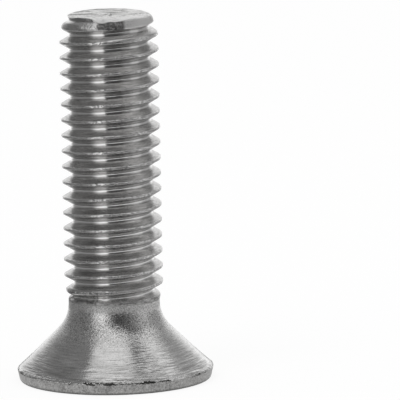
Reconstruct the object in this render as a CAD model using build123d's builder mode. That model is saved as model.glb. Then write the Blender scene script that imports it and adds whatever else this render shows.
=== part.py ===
from build123d import *
from math import atan, ceil, cos, degrees, radians, sin, tan
import os

# Countersunk screw with a hexagon socket, M8 x 1.25 x 30, turned and rolled from one
# piece of steel. It stands on the flat face of its head, which is z = 0, and the
# shank rises along +Z. All lengths are in millimetres.

# over all
length = 29.6  # head face to end, 30 nominal at the low side of its tolerance

# head
head_radius = 7.9  # at the corner between the cone and the rim
face_radius = 7.7  # edge of the flat face, where the rim draws in
rim_height = 0.9
seat_angle = 92  # included angle of the countersunk seat, 90 nominal
neck_radius = 3.65  # the blank that the thread is rolled from
neck_top = 6.6  # where the plain neck ends and the thread begins
neck_blend = 1.05  # the curve from the seat into the neck starts this far from their corner

# thread
pitch = 1.25
crest_radius = 3.95
flank_radius = 3.615  # where the flank bends into the rounded root
root_radius = 3.28
flank_rise = 0.27  # from the crest to the bend of the flank, along the axis
thread_angle = 78.5  # turns the helix round the axis to its start
hidden_turns = 1.75  # turns of the helix buried in the head, below the neck's end
spare_turns = 1  # turns past the end, which the end face cuts off
flare_drop = 0.1  # the crests rise from the neck this far below its end
flare_inset = 0.3  # and start this far inside it
shank_clearance = 0.2  # the outline that trims the thread keeps this far outside the crests

# end
end_radius = 3.22
chamfer_depth = 0.5
chamfer_radius = 3.55
taper_depth = 1.7  # the crests reach their full radius this far from the end

# socket
key_size = 5.1  # across flats, for a 5 mm key
socket_depth = 3.25  # straight walls, from the face
bevel_size = 4.8  # across flats at the foot of the bevel round the bottom
bevel_depth = 0.25
drill_angle = 130  # included angle of the bottom's shallow point
flare_size = 5.5  # across flats at the face, where the mouth widens
flare_depth = 0.9
mouth_radius = 3.22  # circular chamfer round the mouth
mouth_angle = 120  # included angle of that chamfer

# derived sizes
half_seat = radians(seat_angle / 2)
seat_top = rim_height + (head_radius - neck_radius) / tan(half_seat)
blend_start = (neck_radius + neck_blend * sin(half_seat), seat_top - neck_blend * cos(half_seat))
blend_end = (neck_radius, seat_top + neck_blend)
outer_radius = crest_radius + shank_clearance
flare_foot = neck_top - flare_drop - flare_inset
taper_slope = (taper_depth - chamfer_depth) / (crest_radius - chamfer_radius)
taper_start = length - taper_depth - shank_clearance * taper_slope
helix_base = neck_top - hidden_turns * pitch
turns = ceil((length - helix_base) / pitch) + spare_turns
helix_top = helix_base + turns * pitch
socket_floor = socket_depth + bevel_depth
floor_radius = bevel_size / 2
drill_depth = floor_radius / tan(radians(drill_angle / 2))
mouth_depth = mouth_radius / tan(radians(mouth_angle / 2))
bevel_taper = degrees(atan((key_size - bevel_size) / 2 / bevel_depth))
flare_taper = degrees(atan((flare_size - key_size) / 2 / flare_depth))

# One turn of the section, as radius and rise along the axis: the crest, the bend in
# the upper flank, the root, and the bend in the lower flank of the next crest.
thread_section = [
    (crest_radius, 0),
    (flank_radius, flank_rise),
    (root_radius, pitch / 2),
    (flank_radius, pitch - flank_rise),
]

# Helical edges, one turn long each, in order of height. Each pair of neighbours bounds
# one strip of the thread's surface.
rails = [
    Helix(pitch, pitch, radius, center=(0, 0, helix_base + turn * pitch + rise)).edge()
    for turn in range(turns)
    for radius, rise in thread_section
]
rails.append(Helix(pitch, pitch, crest_radius, center=(0, 0, helix_top)).edge())
thread_faces = [
    Face.make_surface_from_curves(lower, upper)
    for lower, upper in zip(rails, rails[1:])
]

# Both ends of the helical strip are closed to the axis by a ramp one turn long and by
# the flat step that joins the ramp's two ends.
for rail, base in ((rails[0], helix_base), (rails[-1], helix_top)):
    axis_edge = Edge.make_line((0, 0, base), (0, 0, base + pitch))
    thread_faces.append(Face.make_surface_from_curves(axis_edge, rail))
    step = [(radius, 0, base + rise) for radius, rise in thread_section]
    step += [(crest_radius, 0, base + pitch), (0, 0, base + pitch), (0, 0, base)]
    thread_faces.append(Face(Wire.make_polygon(step, close=True)))

# The threaded shank: the helical bar cut to the outline of the blank, with the crests
# rising from the neck at one end and tapered and chamfered at the other.
with BuildPart() as shank:
    add(Solid(Shell(thread_faces)).rotate(Axis.Z, thread_angle))
    with BuildSketch(Plane.XZ):
        with BuildLine():
            Polyline(
                (0, flare_foot),
                (neck_radius - flare_inset, flare_foot),
                (outer_radius, flare_foot + flare_inset + outer_radius - neck_radius),
                (outer_radius, taper_start),
                (chamfer_radius, length - chamfer_depth),
                (end_radius, length),
                (0, length),
                close=True,
            )
        make_face()
    revolve(axis=Axis.Z, mode=Mode.INTERSECT)

# The screw: head and neck, which end in a cone inside the shank so that each groove of
# the thread runs out on it, then the shank, then the socket.
with BuildPart() as screw:
    with BuildSketch(Plane.XZ):
        with BuildLine():
            Bezier(blend_start, (neck_radius, seat_top), blend_end)
            Polyline(
                blend_end,
                (neck_radius, neck_top),
                (0, neck_top + neck_radius),
                (0, 0),
                (face_radius, 0),
                (head_radius, rim_height),
                blend_start,
            )
        make_face()
    revolve(axis=Axis.Z)
    add(shank.part)

    # straight hexagonal walls, with two corners on the X axis
    with BuildSketch():
        RegularPolygon(key_size / 2, 6, major_radius=False)
    extrude(amount=socket_depth, mode=Mode.SUBTRACT)

    # bevel round the bottom, and the drill point in it
    with BuildSketch(Plane.XY.offset(socket_depth)):
        RegularPolygon(key_size / 2, 6, major_radius=False)
    extrude(amount=bevel_depth, taper=bevel_taper, mode=Mode.SUBTRACT)
    with BuildSketch(Plane.XZ):
        with BuildLine():
            Polyline(
                (0, socket_floor),
                (floor_radius, socket_floor),
                (0, socket_floor + drill_depth),
                close=True,
            )
        make_face()
    revolve(axis=Axis.Z, mode=Mode.SUBTRACT)

    # widened mouth, and the circular chamfer round it
    with BuildSketch():
        RegularPolygon(flare_size / 2, 6, major_radius=False)
    extrude(amount=flare_depth, taper=flare_taper, mode=Mode.SUBTRACT)
    with BuildSketch(Plane.XZ):
        with BuildLine():
            Polyline(
                (0, 0),
                (mouth_radius, 0),
                (0, mouth_depth),
                close=True,
            )
        make_face()
    revolve(axis=Axis.Z, mode=Mode.SUBTRACT)

screw.part.label = "screw"

os.makedirs("parts", exist_ok=True)
export_step(screw.part, "parts/screw.step")
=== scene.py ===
import math

import bpy
from mathutils import Matrix, Vector, noise


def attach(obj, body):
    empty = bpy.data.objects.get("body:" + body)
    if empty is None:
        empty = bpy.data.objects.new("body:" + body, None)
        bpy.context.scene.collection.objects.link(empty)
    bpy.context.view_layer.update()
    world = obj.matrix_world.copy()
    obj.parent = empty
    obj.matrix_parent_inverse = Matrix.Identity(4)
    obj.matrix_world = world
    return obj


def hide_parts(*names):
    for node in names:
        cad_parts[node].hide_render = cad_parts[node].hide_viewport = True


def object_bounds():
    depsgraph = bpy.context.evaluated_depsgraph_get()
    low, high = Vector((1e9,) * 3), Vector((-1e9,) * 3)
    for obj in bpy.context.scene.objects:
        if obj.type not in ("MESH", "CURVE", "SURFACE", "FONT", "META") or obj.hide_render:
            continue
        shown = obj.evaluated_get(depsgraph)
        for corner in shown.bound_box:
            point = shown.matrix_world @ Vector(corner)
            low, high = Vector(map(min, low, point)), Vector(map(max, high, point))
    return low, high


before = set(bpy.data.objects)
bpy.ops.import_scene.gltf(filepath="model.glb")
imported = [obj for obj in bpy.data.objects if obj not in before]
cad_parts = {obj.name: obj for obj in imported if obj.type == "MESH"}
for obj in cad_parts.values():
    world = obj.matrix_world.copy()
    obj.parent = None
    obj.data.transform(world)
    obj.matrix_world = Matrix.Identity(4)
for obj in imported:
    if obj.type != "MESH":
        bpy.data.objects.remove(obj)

cad_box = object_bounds()
MM = 0.001


# The camera: a long lens 400 mm in front of the screw, a little above it and very
# slightly tilted, with the screw left of the middle of the picture.
LENS_LENGTH = 449.3
SENSOR_WIDTH = 36
LENS_SEES = (0.02, 20)  # metres, nearest and farthest
LENS_AIM = Vector((7.04, 0.0, 14.33)) * MM
LENS_DISTANCE = 400 * MM
LENS_RISE = math.radians(8.88)
LENS_ROLL = math.radians(-1.02)


def set_up(name, data):
    """Puts a camera, a lamp or a mesh in the scene."""
    made = bpy.data.objects.new(name, data)
    bpy.context.collection.objects.link(made)
    return made


lens = bpy.data.cameras.new("long_lens")
lens.lens = LENS_LENGTH
lens.sensor_width = SENSOR_WIDTH
lens.clip_start, lens.clip_end = LENS_SEES
camera = set_up("long_lens", lens)
back = Vector((0.0, -math.cos(LENS_RISE), math.sin(LENS_RISE)))
tilt = back.to_track_quat("Z", "Y").to_matrix() @ Matrix.Rotation(LENS_ROLL, 3, "Z")
camera.matrix_world = Matrix.Translation(LENS_AIM + back * LENS_DISTANCE) @ tilt.to_4x4()
bpy.context.scene.camera = camera


# The floor: one wide sheet of matt white paper. The camera and the steel see it white,
# and it keeps the screw's soft shadow. From below it is clear, so that the face of the
# head can be looked at.
FLOOR_REACH = 3.0  # metres
FLOOR_DROP = 0.00001  # metres, so that it stays clear of the face of the head
FLOOR_COLOR = (0.86, 0.86, 0.86, 1)
FLOOR_WHITE = 1.10
FLOOR_SHOWN = 0.80  # share of plain white in what the camera sees; the rest is lit paper


def bare_tree(owner):
    """An empty tree of nodes for a material or the room."""
    owner.use_nodes = True
    owner.node_tree.nodes.clear()
    return owner.node_tree


def node(tree, kind, label="", **settings):
    """Adds a node to a tree."""
    made = tree.nodes.new(kind)
    made.label = label
    for name, value in settings.items():
        setattr(made, name, value)
    return made


def link(tree, source, socket):
    """Links an output to a socket, or sets the socket to a number."""
    if isinstance(source, (int, float)):
        socket.default_value = source
    else:
        tree.links.new(source, socket)


def seen(tree):
    """1 for what the camera and the steel see, and 0 for the light that falls on things."""
    path = node(tree, "ShaderNodeLightPath", "what looks at it")
    made = node(tree, "ShaderNodeMath", "camera or steel", operation="MAXIMUM")
    link(tree, path.outputs["Is Camera Ray"], made.inputs[0])
    link(tree, path.outputs["Is Glossy Ray"], made.inputs[1])
    return made.outputs[0]


def mixed(tree, share, first, second, label):
    """Mixes two shaders, by the share of the second."""
    made = node(tree, "ShaderNodeMixShader", label)
    for source, socket in zip((share, first, second), made.inputs):
        link(tree, source, socket)
    return made.outputs[0]


paper = bpy.data.materials.new("white_paper")
tree = bare_tree(paper)
lit = node(tree, "ShaderNodeBsdfDiffuse", "lit paper")
lit.inputs["Color"].default_value = FLOOR_COLOR
white = node(tree, "ShaderNodeEmission", "white")
white.inputs["Strength"].default_value = FLOOR_WHITE
share = node(tree, "ShaderNodeMath", "share of white", operation="MULTIPLY")
link(tree, seen(tree), share.inputs[0])
link(tree, FLOOR_SHOWN, share.inputs[1])
shown = mixed(tree, share.outputs[0], lit.outputs[0], white.outputs[0], "paper and white")
side = node(tree, "ShaderNodeNewGeometry", "which side")
clear = node(tree, "ShaderNodeBsdfTransparent", "clear")
sided = mixed(tree, side.outputs["Backfacing"], shown, clear.outputs[0], "clear from below")
link(tree, sided, node(tree, "ShaderNodeOutputMaterial").inputs["Surface"])

sheet = bpy.data.meshes.new("paper_floor")
sheet_corners = [(-1, -1), (1, -1), (1, 1), (-1, 1)]
sheet.from_pydata(
    [(x * FLOOR_REACH, y * FLOOR_REACH, -FLOOR_DROP) for x, y in sheet_corners], [], [(0, 1, 2, 3)]
)
sheet.materials.append(paper)
floor = set_up("paper_floor", sheet)


# The room: white all round as the camera and the steel see it. What stands in it gets a
# little less light than that, so that the steel keeps its tone.
ROOM_LIGHT = 0.72

room = bpy.data.worlds.new("white_room")
bpy.context.scene.world = room
tree = bare_tree(room)
level = node(tree, "ShaderNodeMapRange", "white, or plain light")
level.inputs["To Min"].default_value = ROOM_LIGHT
level.inputs["To Max"].default_value = 1.0
sky = node(tree, "ShaderNodeBackground", "white room")
link(tree, seen(tree), level.inputs["Value"])
link(tree, level.outputs["Result"], sky.inputs["Strength"])
link(tree, sky.outputs[0], node(tree, "ShaderNodeOutputWorld").inputs["Surface"])
bpy.context.scene.view_settings.view_transform = "Standard"


# The lamp: one large soft box over the left shoulder of the camera, which gives the
# floor its faint shadow. Neither the camera nor the steel sees it.
LAMP_WIDTH = 0.5  # metres
LAMP_POWER = 1.1
LAMP_PLACE = Vector((-0.35, -0.45, 0.75))  # metres
LAMP_AIM = Vector((0, 0, 10)) * MM

soft_box = bpy.data.lights.new("soft_box", "AREA")
soft_box.shape = "DISK"
soft_box.size = LAMP_WIDTH
soft_box.energy = LAMP_POWER
lamp = set_up("soft_box", soft_box)
lamp.location = LAMP_PLACE
lamp.rotation_mode = "QUATERNION"
lamp.rotation_quaternion = (LAMP_PLACE - LAMP_AIM).to_track_quat("Z", "Y")
lamp.visible_camera = False
lamp.visible_glossy = False


# The cards: a ring of grey, black and white cards round the screw, under a roof of cards
# with an oval opening. A dark disc lies round the head, a painted shadow of the screw on
# the floor, and paper round the disc. Only the steel sees them, in its reflections.
# the dark disc is a painted shadow of the screw on the floor
DISC_INNER, DISC_OUTER = 11.0, 24.0
PAPER_OUTER = 52.0
WALL_REACH, WALL_TOP = 150.0, 118.0
OPENING_HALF_WIDTH, OPENING_HALF_DEPTH = 80.0, 116.0
OPENING_HEIGHT = 220.0
OPENING_AT = (-14.0, -70.0)
CARD_LIFT = 0.2
CARD_STEPS = 96

# degrees from the camera, to the right, and brightness
DISC_TONES = [(-180, 0.12), (-10, 0.12), (60, 0.25), (150, 0.25), (180, 0.12)]
PAPER_TONES = [
    (-180, 0.95), (-160, 0.95), (-140, 0.34), (-40, 0.36), (-22, 0.85), (60, 1.0), (180, 0.95),
]
WALL_TONES = [
    (-180, 1.0), (-163, 1.0), (-142, 0.30), (-120, 0.20), (-60, 0.17), (-50, 0.45),
    (-40, 0.92), (-17, 0.97), (-13, 0.09), (31, 0.08), (41, 0.20), (62, 0.32), (70, 0.52),
    (92, 0.50), (100, 0.30), (140, 0.36), (161, 1.0), (180, 1.0),
]
ROOF_TONES = [
    (-180, 0.20), (-124, 0.20), (-62, 0.22), (-50, 0.50), (-40, 0.85), (-17, 0.90),
    (-13, 0.06), (40, 0.07), (52, 0.17), (84, 0.18), (91, 0.90), (112, 0.88), (119, 0.35),
    (134, 0.40), (150, 0.40), (180, 0.25),
]


def grey(tone):
    """A grey colour."""
    return (tone, tone, tone, 1)


def card(name, tones):
    """A card whose brightness depends on the angle round the screw."""
    made = bpy.data.materials.new(name)
    tree = bare_tree(made)
    place = node(tree, "ShaderNodeNewGeometry", "where on the card")
    parts = node(tree, "ShaderNodeSeparateXYZ", "where on the card")
    forward = node(tree, "ShaderNodeMath", "towards the camera", operation="MULTIPLY")
    forward.inputs[1].default_value = -1
    turn = node(tree, "ShaderNodeMath", "angle from the camera", operation="ARCTAN2")
    spread = node(tree, "ShaderNodeMapRange", "angle from 0 to 1")
    spread.inputs["From Min"].default_value = -math.pi
    spread.inputs["From Max"].default_value = math.pi
    shades = node(tree, "ShaderNodeValToRGB", "tones")
    stops = shades.color_ramp.elements
    stops[0].color = grey(tones[0][1])
    stops[-1].color = grey(tones[-1][1])
    for degrees, tone in tones[1:-1]:
        stops.new((degrees + 180) / 360).color = grey(tone)
    glow = node(tree, "ShaderNodeEmission", "card")
    link(tree, place.outputs["Position"], parts.inputs[0])
    link(tree, parts.outputs["Y"], forward.inputs[0])
    link(tree, parts.outputs["X"], turn.inputs[0])
    link(tree, forward.outputs[0], turn.inputs[1])
    link(tree, turn.outputs[0], spread.inputs["Value"])
    link(tree, spread.outputs["Result"], shades.inputs["Fac"])
    link(tree, shades.outputs["Color"], glow.inputs["Color"])
    link(tree, glow.outputs[0], node(tree, "ShaderNodeOutputMaterial").inputs["Surface"])
    return made


DISC, PAPER, WALL, ROOF = range(4)
card_rows = [  # the card that ends at the row, half its width and depth, height and middle
    (None, DISC_INNER, DISC_INNER, CARD_LIFT, (0, 0)),
    (DISC, DISC_OUTER, DISC_OUTER, CARD_LIFT, (0, 0)),
    (PAPER, PAPER_OUTER, PAPER_OUTER, CARD_LIFT, (0, 0)),
    (WALL, WALL_REACH, WALL_REACH, CARD_LIFT, (0, 0)),
    (WALL, WALL_REACH, WALL_REACH, WALL_TOP, (0, 0)),
    (ROOF, OPENING_HALF_WIDTH, OPENING_HALF_DEPTH, OPENING_HEIGHT, OPENING_AT),
]
card_points = []
card_faces = []
card_kinds = []
for j, (kind, wide, deep, height, at) in enumerate(card_rows):
    for i in range(CARD_STEPS):
        angle = math.tau * i / CARD_STEPS
        x, y = at[0] + wide * math.cos(angle), at[1] + deep * math.sin(angle)
        card_points.append((x * MM, y * MM, height * MM))
        if j:
            a = (j - 1) * CARD_STEPS + i
            b = (j - 1) * CARD_STEPS + (i + 1) % CARD_STEPS
            card_faces.append((a, b, b + CARD_STEPS, a + CARD_STEPS))
            card_kinds.append(kind)
card_mesh = bpy.data.meshes.new("reflection_cards")
card_mesh.from_pydata(card_points, [], card_faces)
card_tones = {"disc": DISC_TONES, "paper": PAPER_TONES, "wall": WALL_TONES, "roof": ROOF_TONES}
for name, tones in card_tones.items():
    card_mesh.materials.append(card(name + "_card", tones))
card_mesh.polygons.foreach_set("material_index", card_kinds)
cards = set_up("reflection_cards", card_mesh)
for ray in ("camera", "diffuse", "transmission", "volume_scatter", "shadow"):
    setattr(cards, "visible_" + ray, False)


# The head: forged from the bar with its socket, then turned on the seat. It stands on
# its face. The skin of the whole screw is one closed sheet of rings round the axis,
# which starts here at the bottom of the socket.
HEAD_RADIUS = round(cad_box[1][0] / MM, 1)
COLUMNS = 216
FORGED, TURNED, ROLLED, SAWN = range(4)  # the finishes of the steel

points = []
faces = []
finishes = []
rings = []


def ring(radius, height):
    """Adds a ring of points. Radius and height are millimetres, or functions of the angle."""
    first = len(points)
    for i in range(COLUMNS):
        angle = math.tau * i / COLUMNS
        r = radius(angle) if callable(radius) else radius
        z = height(angle) if callable(height) else height
        points.append((r * math.cos(angle) * MM, r * math.sin(angle) * MM, z * MM))
    return [first + i for i in range(COLUMNS)]


def join(lower, upper, finish):
    """Joins two rings with a band of faces."""
    for i in range(COLUMNS):
        k = (i + 1) % COLUMNS
        faces.append((lower[i], lower[k], upper[k], upper[i]))
        finishes.append(finish)


def carry_on(radius, height, finish):
    """Carries the skin on from its last ring to a new one."""
    rings.append(ring(radius, height))
    join(rings[-2], rings[-1], finish)


def close(around, height, finish):
    """Closes a ring with a fan to one point on the axis."""
    points.append((0.0, 0.0, height * MM))
    tip = len(points) - 1
    for i in range(COLUMNS):
        faces.append((around[(i + 1) % COLUMNS], around[i], tip))
        finishes.append(finish)


def smooth(low, high, value):
    """From 0 at low to 1 at high, with no corners."""
    t = min(1.0, max(0.0, (value - low) / (high - low)))
    return t * t * (3 - 2 * t)


def rough(angle, height, size, seed):
    """Uneven by -1 to 1, in patches of the given size in millimetres."""
    reach = 4.0 / size
    place = (reach * math.cos(angle), reach * math.sin(angle), height / size + seed)
    return noise.noise(Vector(place))


# the socket: a hexagon with straight walls, a bevel and the point of a drill at its
# bottom, and a mouth that is widened and has a round chamfer
KEY_SIZE = 5.1
BOTTOM_SIZE = 4.78
WALL_DEPTH = 3.28
BOTTOM_DEPTH = 3.46
DRILL_DEPTH = 1.05
DRILL_TIP = 0.25
MOUTH_SIZE = 5.5
MOUTH_DEPTH = 0.9
MOUTH_RADIUS = 3.22
MOUTH_SLOPE = math.tan(math.radians(60))
MOUTH_ROUND = 0.035  # how far the edge between the chamfer and the flats is rounded
SIXTH = math.tau / 6


def hexagon(flats):
    """Radius of a hexagon with that size across its flats and a corner at angle 0."""
    def radius(angle):
        return flats / 2 / math.cos((angle % SIXTH) - SIXTH / 2)
    return radius


def drilled(share):
    """Radius of the bottom, a share of its width: round near the drill's point, then a hexagon."""
    shape = hexagon(BOTTOM_SIZE)
    roundness = 0.9 * (1 - share) ** 0.3

    def radius(angle):
        return share * (shape(angle) * (1 - roundness) + BOTTOM_SIZE / 2 * roundness)
    return radius


def mouth_flats(height):
    """Size across the flats where the mouth widens."""
    return MOUTH_SIZE - (MOUTH_SIZE - KEY_SIZE) * min(1.0, height / MOUTH_DEPTH)


def mouth_height(angle):
    """Where the round chamfer meets the flats."""
    across = math.cos((angle % SIXTH) - SIXTH / 2)
    slope = (MOUTH_SIZE - KEY_SIZE) / 2 / MOUTH_DEPTH
    return (MOUTH_RADIUS - MOUTH_SIZE / 2 / across) / (MOUTH_SLOPE - slope / across)


def mouth_edge(angle):
    """Radius where the round chamfer meets the flats."""
    return MOUTH_RADIUS - mouth_height(angle) * MOUTH_SLOPE


rings.append(ring(DRILL_TIP, BOTTOM_DEPTH + DRILL_DEPTH * 0.9))
close(rings[-1], BOTTOM_DEPTH + DRILL_DEPTH, FORGED)
for share in (0.2, 0.3, 0.42, 0.54, 0.66, 0.78, 0.88, 0.95):
    carry_on(drilled(share), BOTTOM_DEPTH + DRILL_DEPTH * (1 - share) ** 1.15, FORGED)
socket_rows = [  # size across the flats, and height
    (BOTTOM_SIZE, BOTTOM_DEPTH),
    (BOTTOM_SIZE + 0.10, BOTTOM_DEPTH - 0.02),
    (KEY_SIZE - 0.06, WALL_DEPTH + 0.05),
    (KEY_SIZE, WALL_DEPTH - 0.05),
    (KEY_SIZE, 2.4),
    (KEY_SIZE, 1.6),
    (KEY_SIZE, 1.0),
    (KEY_SIZE + 0.02, MOUTH_DEPTH),
    (mouth_flats(0.62), 0.62),
    (mouth_flats(0.42), 0.42),
]
for flats, height in socket_rows:
    carry_on(hexagon(flats), height, FORGED)
carry_on(
    lambda a: hexagon(mouth_flats(mouth_height(a) + MOUTH_ROUND))(a),
    lambda a: mouth_height(a) + MOUTH_ROUND,
    FORGED,
)
carry_on(mouth_edge, mouth_height, FORGED)
for share in (0.12, 0.5, 0.88):
    carry_on(
        lambda a: mouth_edge(a) + (MOUTH_RADIUS - mouth_edge(a)) * share,
        lambda a: mouth_height(a) * (1 - share),
        FORGED,
    )
carry_on(MOUTH_RADIUS + 0.01, 0.012, FORGED)
carry_on(MOUTH_RADIUS + 0.06, 0.0, FORGED)

# the face: flat as forged, with eight short plain strokes struck into it
FACE_RADIUS = 7.7
FACE_UNEVEN = 0.004
STROKES = [109, 149, 187, 32, 3, -26, -56, -87]  # degrees round the face, seen from its front
STROKE_FROM, STROKE_TO = 4.75, 6.05
STROKE_WIDTH = 0.24
STROKE_DEPTH = 0.13


def face_height(radius):
    """Height of the face, with its strokes, at that radius."""
    def height(angle):
        dent = 0.0
        for degrees in STROKES:
            off = (angle + math.radians(degrees) + math.pi) % math.tau - math.pi
            across = abs(off) * radius
            along = max(STROKE_FROM - radius, radius - STROKE_TO, 0.0)
            reach = math.hypot(across, along)
            dent = max(dent, 1 - smooth(STROKE_WIDTH * 0.45, STROKE_WIDTH * 1.15, reach))
        return STROKE_DEPTH * dent + FACE_UNEVEN * (1 + rough(angle, radius, 0.8, 3.0))
    return height


stroke_rows = [4.6 + 0.09 * k for k in range(19)]  # close together, for the strokes' ends
for radius in [3.5, 3.9, 4.3, 4.5] + stroke_rows + [6.4, 6.8, 7.15]:
    carry_on(radius, face_height(radius), FORGED)

# the rim: short, nearly upright and slightly uneven
RIM_HEIGHT = 0.9
rim_rows = [  # radius, height and unevenness
    (FACE_RADIUS - 0.14, 0.012, 0.004),
    (FACE_RADIUS - 0.06, 0.03, 0.006),
    (FACE_RADIUS - 0.01, 0.09, 0.01),
    (FACE_RADIUS + 0.03, 0.18, 0.01),
    (FACE_RADIUS + 0.08, 0.42, 0.012),
    (FACE_RADIUS + 0.14, 0.66, 0.012),
    (HEAD_RADIUS - 0.03, 0.82, 0.012),
    (HEAD_RADIUS - 0.015, 0.89, 0.014),
]
for radius, height, uneven in rim_rows:
    carry_on(
        lambda a: radius + uneven * rough(a, height, 1.1, 9.0),
        lambda a: height + uneven * rough(a, height, 0.9, 5.0),
        FORGED,
    )

# the seat: turned, a little steeper by the rim, where a small burr is left, and blended
# into the plain neck
BURR = 0.028  # how uneven the burr is
BURR_INSET = 0.045
RIPPLE = 0.003  # how wavy the tool leaves the rest
RIPPLE_SIZE, RIPPLE_STRETCH = 2.0, 6  # long round the axis and short up the seat
SEAT_EDGE = HEAD_RADIUS - 0.13
SEAT_BEND = (6.48, 2.2)  # radius and height where the seat's angle changes
SEAT_SUM = sum(SEAT_BEND)  # radius plus height on the inner part, which falls at 45 degrees
NECK_RADIUS = 3.66
SEAT_TOP = SEAT_SUM - NECK_RADIUS
BLEND = 1.26
BLEND_FROM = (NECK_RADIUS + BLEND * math.sin(math.pi / 4), SEAT_TOP - BLEND * math.cos(math.pi / 4))
OUTER_STEPS, INNER_STEPS, BLEND_STEPS = 5, 10, 12

outer_slope = (SEAT_BEND[1] - RIM_HEIGHT) / (HEAD_RADIUS - SEAT_BEND[0])
seat_rows = [(HEAD_RADIUS - BURR_INSET, RIM_HEIGHT + 0.05)]
for k in range(OUTER_STEPS + 1):
    radius = SEAT_EDGE - (SEAT_EDGE - SEAT_BEND[0]) * k / OUTER_STEPS
    seat_rows.append((radius, RIM_HEIGHT + (HEAD_RADIUS - radius) * outer_slope))
for k in range(1, INNER_STEPS):
    radius = SEAT_BEND[0] + (BLEND_FROM[0] - SEAT_BEND[0]) * k / INNER_STEPS
    seat_rows.append((radius, SEAT_SUM - radius))
for k in range(BLEND_STEPS + 1):
    t = k / BLEND_STEPS
    one, two, three = (1 - t) ** 2, 2 * t * (1 - t), t * t
    radius = one * BLEND_FROM[0] + (two + three) * NECK_RADIUS
    height = one * BLEND_FROM[1] + two * SEAT_TOP + three * (SEAT_TOP + BLEND)
    seat_rows.append((radius, height))
for k, (radius, height) in enumerate(seat_rows):
    ripple = BURR if k == 0 else RIPPLE
    carry_on(
        lambda a: radius + ripple * rough(a, height * RIPPLE_STRETCH, RIPPLE_SIZE, 0.0),
        lambda a: height + ripple * rough(a, height * RIPPLE_STRETCH, RIPPLE_SIZE, 0.0),
        TURNED,
    )


# the steel of the head, and what every finish of the screw uses
# nearly black, for gaps and for painted shade
GAP_BLACK = (0.07, 0.069, 0.067)
NUMBER, DIRECTION = "NodeSocketFloat", "NodeSocketVector"
MIX_A, MIX_B, MIX_OUT = 6, 7, 2  # a mix node's sockets for colours


def group(name, inputs, outputs):
    """A group of shader nodes with named numbers going in and named values coming out."""
    made = bpy.data.node_groups.new(name, "ShaderNodeTree")
    for label, value in inputs.items():
        made.interface.new_socket(label, in_out="INPUT", socket_type=NUMBER).default_value = value
    for label, kind in outputs.items():
        made.interface.new_socket(label, in_out="OUTPUT", socket_type=kind)
    return made, node(made, "NodeGroupInput").outputs, node(made, "NodeGroupOutput").inputs


def placed(tree, made_group, **values):
    """Places a group in a tree, with its own values."""
    made = node(tree, "ShaderNodeGroup", made_group.name)
    made.node_tree = made_group
    for name, value in values.items():
        link(tree, value, made.inputs[name.replace("_", " ")])
    return made.outputs


def worked(tree, operation, first, second=0.0):
    """Works out a value from two."""
    made = node(tree, "ShaderNodeMath", operation=operation)
    link(tree, first, made.inputs[0])
    link(tree, second, made.inputs[1])
    return made.outputs[0]


def plus(tree, first, second):
    return worked(tree, "ADD", first, second)


def minus(tree, first, second):
    return worked(tree, "SUBTRACT", first, second)


def times(tree, first, second):
    return worked(tree, "MULTIPLY", first, second)


def greatest(tree, first, *others):
    """The greatest of some values."""
    for other in others:
        first = worked(tree, "MAXIMUM", first, other)
    return first


def ranged(tree, value, low, high, to_low=0.0, to_high=1.0):
    """Maps a value from one range to another, and keeps it there."""
    made = node(tree, "ShaderNodeMapRange", "range")
    link(tree, value, made.inputs["Value"])
    link(tree, low, made.inputs["From Min"])
    link(tree, high, made.inputs["From Max"])
    link(tree, to_low, made.inputs["To Min"])
    link(tree, to_high, made.inputs["To Max"])
    return made.outputs["Result"]


def between(tree, value, rise, fall):
    """Rises from 0 to 1 over the first range, and falls back over the second."""
    return times(tree, ranged(tree, value, *rise), ranged(tree, value, *fall, 1.0, 0.0))


def facing(tree, spot, degrees, low, high, to_low=0.0, to_high=1.0):
    """1 on the side of the screw that lies at an angle from the camera, to the right."""
    made = node(tree, "ShaderNodeVectorMath", "on one side", operation="DOT_PRODUCT")
    turn = math.radians(degrees)
    made.inputs[1].default_value = (math.sin(turn), -math.cos(turn), 0)
    link(tree, spot["Direction"], made.inputs[0])
    return ranged(tree, made.outputs["Value"], low, high, to_low, to_high)


# where a point lies: its radius and height in millimetres, and its direction from the axis
place_group, _, result = group(
    "place_on_screw", {}, {"Radius": NUMBER, "Height": NUMBER, "Direction": DIRECTION}
)
where = node(place_group, "ShaderNodeTexCoord", "place")
in_mm = node(place_group, "ShaderNodeVectorMath", "in millimetres", operation="SCALE")
in_mm.inputs["Scale"].default_value = 1 / MM
split = node(place_group, "ShaderNodeSeparateXYZ")
flat = node(place_group, "ShaderNodeVectorMath", "flat", operation="MULTIPLY")
flat.inputs[1].default_value = (1, 1, 0)
from_axis = node(place_group, "ShaderNodeVectorMath", "radius", operation="LENGTH")
direction = node(place_group, "ShaderNodeVectorMath", "direction", operation="NORMALIZE")
link(place_group, where.outputs["Object"], in_mm.inputs[0])
link(place_group, in_mm.outputs[0], split.inputs[0])
link(place_group, in_mm.outputs[0], flat.inputs[0])
link(place_group, flat.outputs[0], from_axis.inputs[0])
link(place_group, flat.outputs[0], direction.inputs[0])
link(place_group, from_axis.outputs["Value"], result["Radius"])
link(place_group, split.outputs["Z"], result["Height"])
link(place_group, direction.outputs[0], result["Direction"])

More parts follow.
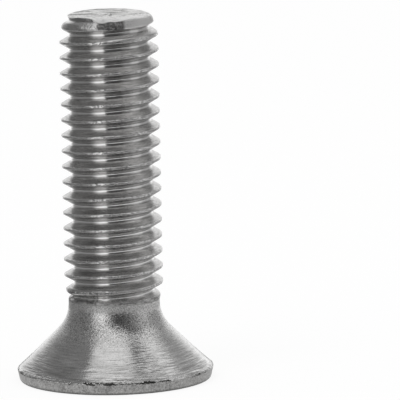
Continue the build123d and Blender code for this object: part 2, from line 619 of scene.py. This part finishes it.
# fine lines that run round the axis, uneven along their length
lines_group, given, result = group(
    "lines_round", {"Along": 0.0, "Lines per mm": 5.0, "Length": 1.0, "Seed": 0.0}, {"Value": NUMBER}
)
reach = node(lines_group, "ShaderNodeVectorMath", "along the line", operation="SCALE")
stacked = node(lines_group, "ShaderNodeCombineXYZ", "from line to line")
both = node(lines_group, "ShaderNodeVectorMath", "both ways", operation="ADD")
waves = node(lines_group, "ShaderNodeTexNoise", "lines")
waves.inputs["Scale"].default_value = 1.0
waves.inputs["Detail"].default_value = 2.5
waves.inputs["Roughness"].default_value = 0.55
link(lines_group, placed(lines_group, place_group)["Direction"], reach.inputs[0])
link(lines_group, given["Length"], reach.inputs["Scale"])
across_lines = times(lines_group, given["Along"], given["Lines per mm"])
link(lines_group, plus(lines_group, across_lines, given["Seed"]), stacked.inputs["Z"])
link(lines_group, reach.outputs[0], both.inputs[0])
link(lines_group, stacked.outputs[0], both.inputs[1])
link(lines_group, both.outputs[0], waves.inputs["Vector"])
link(lines_group, waves.outputs["Fac"], result["Value"])


def lines_round(tree, along, per_mm, length, seed=0.0):
    """Lines round the axis, one beside the other along a radius or a height."""
    values = {"Along": along, "Lines per mm": per_mm, "Length": length, "Seed": seed}
    return placed(tree, lines_group, **values)["Value"]


# the fine grain of pickled steel, in patches of the given size in millimetres
grain_group, given, result = group("steel_grain", {"Size": 0.1, "Detail": 3.0}, {"Value": NUMBER})
where = node(grain_group, "ShaderNodeTexCoord", "place")
specks = node(grain_group, "ShaderNodeTexNoise", "grain")
specks.inputs["Roughness"].default_value = 0.6
link(grain_group, where.outputs["Object"], specks.inputs["Vector"])
link(grain_group, worked(grain_group, "DIVIDE", 1 / MM, given["Size"]), specks.inputs["Scale"])
link(grain_group, given["Detail"], specks.inputs["Detail"])
link(grain_group, specks.outputs["Fac"], result["Value"])


def grained(tree, size, detail):
    """Steel grain of a size in millimetres."""
    return placed(tree, grain_group, Size=size, Detail=detail)["Value"]


# the torn line where the seat meets the rim: it wanders, comes and goes, and is widest
# in front
WANDER = 0.45
HALF_WIDTHS = (-0.02, 0.12)
FRONT_WIDER = (-0.03, 0.035)
FRONT_MIDDLE = 6.9  # degrees to the right of the camera
EDGE_BLUR = 0.02

torn_group, given, result = group("torn_line", {"At": 0.93}, {"Value": NUMBER})
spot = placed(torn_group, place_group)
wander = lines_round(torn_group, 0.0, 1.0, 30.0, 2.0)
wander = times(torn_group, minus(torn_group, wander, 0.5), WANDER)
off_line = minus(torn_group, spot["Height"], plus(torn_group, wander, given["At"]))
half_width = lines_round(torn_group, 0.0, 1.0, 7.0, 5.4)
half_width = ranged(torn_group, half_width, 0.42, 0.66, *HALF_WIDTHS)
wider = facing(torn_group, spot, FRONT_MIDDLE, 0.88, 0.98, *FRONT_WIDER)
half_width = plus(torn_group, half_width, wider)
inside = minus(torn_group, half_width, worked(torn_group, "ABSOLUTE", off_line))
link(torn_group, ranged(torn_group, inside, -EDGE_BLUR, EDGE_BLUR), result["Value"])


def steel(name):
    """A bare metal: its material, tree and shader's sockets, and where a spot of it lies."""
    made = bpy.data.materials.new(name)
    tree = bare_tree(made)
    shader = node(tree, "ShaderNodeBsdfPrincipled", name)
    shader.inputs["Metallic"].default_value = 1.0
    shader.inputs["IOR"].default_value = 1.5
    link(tree, shader.outputs[0], node(tree, "ShaderNodeOutputMaterial").inputs["Surface"])
    return made, tree, shader.inputs, placed(tree, place_group)


def bumped(tree, surface, layers):
    """Stacks bumps onto the surface: each is a height and its size in millimetres."""
    normal = None
    for height, depth in layers:
        bump = node(tree, "ShaderNodeBump")
        bump.inputs["Strength"].default_value = 1.0
        bump.inputs["Distance"].default_value = depth * MM
        link(tree, height, bump.inputs["Height"])
        if normal:
            link(tree, normal, bump.inputs["Normal"])
        normal = bump.outputs["Normal"]
    link(tree, normal, surface["Normal"])


def tinted(tree, surface, value, dark, pale, gaps):
    """Base colour between two tones by a value from 0 to 1, and nearly black in gaps and painted
    shade.
    """
    tones = node(tree, "ShaderNodeMix", "dark and pale steel", data_type="RGBA")
    tones.inputs[MIX_A].default_value = (*dark, 1)
    tones.inputs[MIX_B].default_value = (*pale, 1)
    link(tree, value, tones.inputs["Factor"])
    gapped = node(tree, "ShaderNodeMix", "steel and gaps", data_type="RGBA")
    gapped.inputs[MIX_B].default_value = (*GAP_BLACK, 1)
    link(tree, gaps, gapped.inputs["Factor"])
    link(tree, tones.outputs[MIX_OUT], gapped.inputs[MIX_A])
    link(tree, gapped.outputs[MIX_OUT], surface["Base Color"])


# the face, rim and socket: matt, grainy and darker, with a torn line along the rim's top,
# painted shade along the rim's foot where it stands on the floor, and painted shade in the
# struck strokes
FORGED_DARK, FORGED_PALE = (0.18, 0.178, 0.175), (0.47, 0.467, 0.46)
FORGED_SPREAD = (0.36, 0.64)  # the grain's values that turn dark and pale
FORGED_ROUGHNESS = (0.36, 0.48)
FORGED_DEPTH = 0.045
FOOT_DARK, STRUCK_DARK = 0.9, 0.7
CLOUD = (0.3, 0.7)  # what most of a cloudy grain lies between
RIM_FROM = (7.3, 7.5)
RIM_FOOT = (0.06, 0.26)
STRUCK_HEIGHTS = (0.02, 0.08)
STRUCK_RADII = (3.9, 4.2), (6.4, 6.6)

forged_steel, tree, surface, spot = steel("forged_steel")
grain = grained(tree, 0.15, 2.0)
cloud = grained(tree, 0.7, 4.0)
tone = plus(tree, times(tree, grain, 0.6), times(tree, cloud, 0.4))
tone = ranged(tree, tone, *FORGED_SPREAD)
# painted shade along the rim's foot, where the head stands on the floor
foot = ranged(tree, spot["Height"], *RIM_FOOT, FOOT_DARK, 0.0)
rim_gaps = greatest(tree, foot, placed(tree, torn_group)["Value"])
rim_gaps = times(tree, rim_gaps, ranged(tree, spot["Radius"], *RIM_FROM))
# painted shade in the dents of the struck strokes
struck = ranged(tree, spot["Height"], *STRUCK_HEIGHTS, 0.0, STRUCK_DARK)
struck = times(tree, struck, between(tree, spot["Radius"], *STRUCK_RADII))
tinted(tree, surface, tone, FORGED_DARK, FORGED_PALE, greatest(tree, rim_gaps, struck))
link(tree, ranged(tree, cloud, *CLOUD, *FORGED_ROUGHNESS), surface["Roughness"])
bumped(tree, surface, [(grain, FORGED_DEPTH)])

# the seat: bright and ringed by the turning tool, grainy in the hollow, matt on the neck
TURNED_DARK, TURNED_PALE = (0.48, 0.477, 0.47), (0.88, 0.875, 0.87)
TURNED_SPREAD = (0.25, 0.75)
TURNED_ROUGHNESS = (0.10, 0.14)
NECK_ROUGHER = 0.32
STREAK_DEPTH, SPECKLE_DEPTH, BURR_DEPTH = 0.035, 0.026, 0.08
PITS_DARK = 0.6
BURR_HEIGHTS = (1.0, 1.25)
RINGED_HEIGHTS = (1.4, 4.0)
HOLLOW_HEIGHTS = (3.0, 4.4)
GLOSSY_TO = (5.6, 5.9)
NECK_FROM = (5.75, 5.95)

turned_steel, tree, surface, spot = steel("turned_steel")
height = spot["Height"]
grain = grained(tree, 0.11, 2.0)
cloud = grained(tree, 1.2, 3.0)
tool_rings = minus(tree, lines_round(tree, height, 9.5, 4.5), 0.5)
streaks = times(tree, tool_rings, ranged(tree, height, *RINGED_HEIGHTS, 1.5, 0.25))
hollow = ranged(tree, height, *HOLLOW_HEIGHTS, 0.2, 1.0)
speckle = times(tree, minus(tree, grain, 0.5), hollow)
tone = plus(tree, plus(tree, streaks, times(tree, speckle, 2.0)), 0.5)
tone = ranged(tree, tone, *TURNED_SPREAD)
pits = times(tree, ranged(tree, grain, 0.42, 0.34), hollow)
pits = times(tree, pits, ranged(tree, height, *GLOSSY_TO, PITS_DARK, 0.0))
gaps = greatest(tree, pits, placed(tree, torn_group)["Value"])
tinted(tree, surface, tone, TURNED_DARK, TURNED_PALE, gaps)
matt = ranged(tree, height, *NECK_FROM, 0.0, NECK_ROUGHER)
gloss = ranged(tree, cloud, *CLOUD, *TURNED_ROUGHNESS)
link(tree, plus(tree, gloss, matt), surface["Roughness"])
burr = lines_round(tree, height, 5.0, 24.0, 3.0)
burr = times(tree, burr, ranged(tree, height, *BURR_HEIGHTS, 1.0, 0.0))
bumped(tree, surface, [(streaks, STREAK_DEPTH), (speckle, SPECKLE_DEPTH), (burr, BURR_DEPTH)])


# The thread: M8 x 1.25, right-handed, rolled into the blank between dies. Its rows of
# points run along the helix, so that crest, flanks and root stay true all the way up.
# It tapers at the neck, where the dies stop, and at the end, which was sawn off before.
PITCH = 1.25
CREST_RADIUS = 3.965
CREST_START = 4.4125  # height of the crest at THREAD_ANGLE
THREAD_ANGLE = math.radians(78.5)
SECTION = [  # along the axis from the crest's middle crease, and radius
    (0.0, 3.93), (0.045, CREST_RADIUS), (0.085, 3.955), (0.11, 3.915), (0.27, 3.635),
    (0.42, 3.375), (0.495, 3.245), (0.535, 3.202), (0.625, 3.19), (0.72, 3.20), (0.755, 3.238),
    (0.84, 3.39), (0.98, 3.635), (1.14, 3.915), (1.165, 3.955), (1.205, CREST_RADIUS),
]
ROWS = len(SECTION)
THREAD_FROM = 6.42
NECK_TOP = 6.5
OUTSIDE = 3.98  # clear of every crest
NECK_TAPER = [(NECK_TOP, NECK_RADIUS), (6.64, 3.72), (7.27, 3.83), (7.85, OUTSIDE), (99, OUTSIDE)]
GROOVE_RADIUS = 3.15
GROOVE_STARTS = (6.58, 6.86)
END = round(cad_box[1][2] / MM, 1)
END_DROP = 0.165  # the end was sawn off a little low in front
END_RADIUS = 3.35
END_LEAN = 0.35  # the end is widest this far round from the right, in radians
BENT_UP, BENT_DOWN, BULGED_UP = 0.22, 0.13, 0.09  # the edge of the end, from left to right
LIP = 0.18  # height of the lip that rounds the edge of the end
CREST_FROM, CREST_UNEVEN = 3.8, 0.010
TORN_FROM, TORN_UNEVEN = 3.4, 0.02


def from_front(angle):
    """Degrees from the front of the screw, to the right."""
    return (math.degrees(angle) + 90 + 180) % 360 - 180


def sawn_at(angle, radius=END_RADIUS):
    """Height of the end as it was sawn."""
    return END - END_DROP * (1 - math.sin(angle) * radius / END_RADIUS)


def end_at(angle, radius=END_RADIUS):
    """Height of the end, whose edge the dies bent up and down in front."""
    off = from_front(angle)
    bend = BENT_UP * smooth(-74, -40, off) * (1 - smooth(-27, -15, off))
    bend += BULGED_UP * (1 - smooth(0, 34, abs(off - 42)))
    bend -= BENT_DOWN * (1 - smooth(0, 12, abs(off + 8)))
    return sawn_at(angle, radius) + bend * smooth(1.9, 3.3, radius)


def along(outline, at):
    """Radius of an outline, rows of place and radius, at a place."""
    for (place, radius), (next_place, next_radius) in zip(outline, outline[1:]):
        if place <= at <= next_place:
            return radius + (next_radius - radius) * (at - place) / (next_place - place)
    return OUTSIDE


def taper(height, angle):
    """How far out the steel reaches, which is less at the neck and at the chamfered end."""
    if height <= NECK_TOP:
        return NECK_RADIUS
    uneven = 0.05 * rough(angle, 0.0, 1.6, 20.0) + 0.03 * rough(angle, 0.0, 0.5, 21.0)
    side = math.cos(angle + END_LEAN)
    edge = 3.31 + 0.09 * side
    fuller = 0.13 * max(0.0, -side)
    end_taper = [  # below the sawn end, and radius
        (-9, edge), (0.1, edge + 0.02), (0.18, edge + 0.06), (0.32, edge * 0.4 + 2.17),
        (0.5, 3.59), (0.82, 3.63 + fuller), (1.1, 3.70 + fuller), (1.4, 3.86), (1.7, 3.95),
        (1.85, OUTSIDE), (99, OUTSIDE),
    ]
    return min(along(NECK_TAPER, height + uneven), along(end_taper, sawn_at(angle) - height + uneven))


def run_out(height, angle):
    """The groove's floor, which rises to the neck where the dies stop."""
    uneven = 0.10 * rough(angle, 0.0, 0.9, 31.0) + 0.06 * rough(angle, 0.0, 0.4, 33.0)
    return NECK_RADIUS - (NECK_RADIUS - GROOVE_RADIUS) * smooth(*GROOVE_STARTS, height + uneven)


def thread_radius(base, height, angle):
    """Radius of the thread, from its section's, with its ends and its uneven crest."""
    radius = max(min(base, taper(height, angle)), run_out(height, angle))
    if base > CREST_FROM:
        radius += CREST_UNEVEN * rough(angle, height, 0.35, 40.0)
    return radius


def crest_at(angle):
    """Height of the lowest crest."""
    return CREST_START + PITCH * (angle - THREAD_ANGLE) / math.tau


def lip_radius(angle):
    """Radius of the thread where it is cut off by the lip of the end."""
    height = end_at(angle) - LIP
    base = along(SECTION + [(PITCH, SECTION[0][1])], (height - crest_at(angle)) % PITCH)
    return thread_radius(base, height, angle)


def torn(angle, height):
    """1 where the dies tore the cut end of the thread, in front."""
    off = from_front(angle)
    return smooth(-38, -28, off) * (1 - smooth(16, 24, off)) * smooth(END - 1.15, END - 0.95, height)


low_ring = ring(NECK_RADIUS, THREAD_FROM)
join(rings[-1], low_ring, TURNED)
high_ring = ring(lip_radius, lambda a: end_at(a) - LIP)
turns = math.ceil((END - CREST_START) / PITCH) + 2
near = PITCH / ROWS * 0.2  # a point of the helix this near to a ring becomes part of it
grid = []
for i in range(COLUMNS):
    angle = math.tau * i / COLUMNS
    column = []
    for j in range(-ROWS, turns * ROWS):
        turn, row = divmod(j, ROWS)
        rise, base = SECTION[row]
        height = crest_at(angle) + turn * PITCH + rise
        if height < THREAD_FROM + near:
            column.append(low_ring[i])
        elif height > end_at(angle) - LIP - near:
            column.append(high_ring[i])
        else:
            r = thread_radius(base, height, angle)
            if r > TORN_FROM:
                r += TORN_UNEVEN * torn(angle, height) * rough(angle, height, 0.5, 70.0)
            points.append((r * math.cos(angle) * MM, r * math.sin(angle) * MM, height * MM))
            column.append(len(points) - 1)
    grid.append(column)
for i in range(COLUMNS):
    k = (i + 1) % COLUMNS
    shift = ROWS if k == 0 else 0  # the last column meets the first one turn higher
    for j in range(len(grid[0]) - 1 - shift):
        corners = [grid[i][j], grid[k][j + shift], grid[k][j + 1 + shift], grid[i][j + 1]]
        kept = list(dict.fromkeys(corners))
        if len(kept) >= 3:
            faces.append(tuple(kept))
            finishes.append(ROLLED)

# its steel: paler at the root and crest, partly burnished and partly a painted highlight,
# duller on the flanks, nicked and creased along the crest, and torn where the dies stopped,
# with a painted shadow of the step there
ROLLED_DARK, ROLLED_PALE = (0.40, 0.396, 0.39), (0.82, 0.815, 0.81)
ROLLED_SPREAD = (0.28, 0.66)
ROLLED_ROUGHNESS = 0.12
FLANK_ROUGHER, CREST_ROUGHER, BAND_ROUGHER, RUN_OUT_ROUGHER = 0.15, 0.04, 0.36, 0.3
LINE_DEPTH, GRAIN_DEPTH, NICK_DEPTH, RAG_DEPTH = 0.003, 0.0015, 0.09, 0.12
ROOT_RADII = (3.205, 3.23)
FLANK_RADII = (3.24, 3.32), (3.84, 3.90)
CREST_RADII = (3.86, 3.92)
RUN_OUT_TO = (6.45, 6.65)
NECK_TEAR = (6.46, 6.54), (6.70, 6.9)
CUT_FROM = (END - 1.02, END - 0.90)  # the last of the thread, which the dies bent and tore
LAST_CREST = (END - 0.68, END - 0.63), (END - 0.54, END - 0.50)
UNDER_LIP = (END - 0.50, END - 0.42), (END - 0.20, END - 0.14)

rolled_steel, tree, surface, spot = steel("rolled_steel")
radius = spot["Radius"]
height = spot["Height"]
lines = lines_round(tree, height, 11.0, 3.0)
nicks = lines_round(tree, height, 9.0, 22.0, 7.0)
grain = grained(tree, 0.12, 3.0)
rags = grained(tree, 0.22, 3.0)
root = ranged(tree, radius, *ROOT_RADII, 1.0, 0.0)
flank = between(tree, radius, *FLANK_RADII)
crest = ranged(tree, radius, *CREST_RADII)
# at the neck: torn steel, with a painted shadow of the step where the groove meets it
neck_tear = times(tree, between(tree, height, *NECK_TEAR), 0.56)

# at the cut end the dies left a dark and a pale tear in front and a matt band on the right;
# on the left the last crest is paler, with painted shade between it and the lip
cut_end = ranged(tree, height, *CUT_FROM)
dark_tear = times(tree, cut_end, facing(tree, spot, 4, 0.938, 0.966))
pale_tear = times(tree, cut_end, facing(tree, spot, -27, 0.955, 0.985))
band = times(tree, cut_end, facing(tree, spot, 50, 0.78, 0.86))
lip_side = facing(tree, spot, -50, 0.80, 0.90)
lip_crest = times(tree, lip_side, between(tree, height, *LAST_CREST))
# painted shade under the lip, on the left
lip_groove = times(tree, lip_side, between(tree, height, *UNDER_LIP))

gloss = plus(tree, times(tree, flank, FLANK_ROUGHER), ROLLED_ROUGHNESS)
gloss = plus(tree, gloss, times(tree, crest, CREST_ROUGHER))
gloss = plus(tree, gloss, times(tree, band, BAND_ROUGHER))
gloss = plus(tree, gloss, ranged(tree, height, *RUN_OUT_TO, RUN_OUT_ROUGHER, 0.0))
link(tree, gloss, surface["Roughness"])

tone = plus(tree, times(tree, lines, 0.5), times(tree, grain, 0.5))
tone = minus(tree, tone, times(tree, flank, 0.05))
# root and crest paler: partly burnish, partly a painted highlight
tone = plus(tree, tone, times(tree, plus(tree, crest, times(tree, root, 1.6)), 0.12))
tone = plus(tree, tone, times(tree, plus(tree, plus(tree, band, pale_tear), lip_crest), 0.24))
gaps = greatest(
    tree,
    times(tree, neck_tear, ranged(tree, rags, 0.50, 0.60)),
    times(tree, lip_groove, 0.5),
    times(tree, dark_tear, ranged(tree, rags, 0.34, 0.56, 0.40, 0.85)),
)
tinted(tree, surface, ranged(tree, tone, *ROLLED_SPREAD), ROLLED_DARK, ROLLED_PALE, gaps)
ragged = times(tree, rags, greatest(tree, neck_tear, dark_tear, times(tree, pale_tear, 0.5)))
nicked = times(tree, ranged(tree, nicks, 0.50, 0.62), crest)
bumped(
    tree,
    surface,
    [(lines, LINE_DEPTH), (grain, GRAIN_DEPTH), (nicked, NICK_DEPTH), (ragged, RAG_DEPTH)],
)


# The end: sawn off the bar a little askew before the thread was rolled, and left with the
# marks of the saw. The dies rounded its edge and bent it up and down in front.
LIP_TURN = 0.085  # the lip turns over to the sawn face this far below the end
LIP_INNER = 3.25
end_rows = [  # radius, depth below the end, and unevenness
    (3.39, 0.13, 0.012),
    (3.33, LIP_TURN, 0.012),
    (3.22, 0.06, 0.014),
    (3.12, 0.05, 0.016),
    (2.7, 0.04, 0.018),
    (2.3, 0.035, 0.022),
    (1.9, 0.035, 0.022),
    (1.5, 0.035, 0.022),
    (1.1, 0.035, 0.018),
    (0.7, 0.035, 0.012),
    (0.3, 0.035, 0.0),
]
rings.append(high_ring)
for radius, depth, uneven in end_rows:
    carry_on(
        lambda a: min(radius, lip_radius(a) + 0.02 - max(0.0, LIP_TURN - depth)),
        lambda a: min(END, end_at(a, radius) - depth + uneven * rough(a, radius, 0.6, 50.0)),
        ROLLED if radius > LIP_INNER else SAWN,
    )
close(rings[-1], END - END_DROP - end_rows[-1][1], SAWN)

# its steel: pale grey, scratched and pitted, with dull straight marks of the saw
SAWN_DARK, SAWN_PALE = (0.42, 0.417, 0.41), (0.90, 0.897, 0.89)
SAWN_SPREAD = (0.36, 0.56)
SAWN_ROUGHNESS = (0.26, 0.36)
DENT_DEPTH, ARC_DEPTH, SAWN_DEPTH = 0.12, 0.06, 0.03
SCARS_DARK, SCARS_DULL = 0.6, 0.65
SAW_MARKS_PER_METRE = (420, 1500, 0)  # drawn out from side to side
OFF_CENTRE = (0.2, 1.0)
EDGE_FROM = (2.65, 2.9)

sawn_steel, tree, surface, spot = steel("sawn_steel")
grain = grained(tree, 0.16, 3.0)
cloud = grained(tree, 0.8, 4.0)
off_centre = ranged(tree, spot["Radius"], *OFF_CENTRE)
arcs = times(tree, minus(tree, lines_round(tree, spot["Radius"], 5.0, 5.0), 0.5), off_centre)
tone = plus(tree, plus(tree, times(tree, cloud, 0.6), times(tree, arcs, 0.5)), 0.21)
tone = ranged(tree, tone, *SAWN_SPREAD)
where = node(tree, "ShaderNodeTexCoord", "place")
across = node(tree, "ShaderNodeVectorMath", "drawn out from side to side", operation="MULTIPLY")
across.inputs[1].default_value = SAW_MARKS_PER_METRE
saw = node(tree, "ShaderNodeTexNoise", "saw marks")
saw.inputs["Scale"].default_value = 1.0
saw.inputs["Detail"].default_value = 2.0
link(tree, where.outputs["Object"], across.inputs[0])
link(tree, across.outputs[0], saw.inputs["Vector"])
marks = ranged(tree, saw.outputs["Fac"], 0.49, 0.57)
marks = times(tree, marks, facing(tree, spot, -160, -0.5, 0.6))
far_edge = ranged(tree, saw.outputs["Fac"], 0.40, 0.48)
far_edge = times(tree, far_edge, ranged(tree, spot["Radius"], *EDGE_FROM))
far_edge = times(tree, far_edge, facing(tree, spot, -176, 0.62, 0.80))
scars = greatest(tree, marks, far_edge)
tinted(tree, surface, tone, SAWN_DARK, SAWN_PALE, times(tree, scars, SCARS_DARK))
surface["Specular IOR Level"].default_value = 0.0  # the grime in the scars has no gloss
link(tree, minus(tree, 1.0, times(tree, scars, SCARS_DULL)), surface["Metallic"])
link(tree, ranged(tree, cloud, *CLOUD, *SAWN_ROUGHNESS), surface["Roughness"])
dents = times(tree, minus(tree, cloud, 0.5), off_centre)
bumped(tree, surface, [(dents, DENT_DEPTH), (arcs, ARC_DEPTH), (grain, SAWN_DEPTH)])


# The screw: one piece of plain stainless steel. Its skin is closed here, with the four
# finishes, and stands for the solid.
skin = bpy.data.meshes.new("socket_screw")
skin.from_pydata(points, [], faces)
for material in (forged_steel, turned_steel, rolled_steel, sawn_steel):
    skin.materials.append(material)
skin.polygons.foreach_set("material_index", finishes)
skin.polygons.foreach_set("use_smooth", [True] * len(faces))
skin.update()
screw = set_up("socket_screw", skin)
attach(screw, "root")
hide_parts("screw")
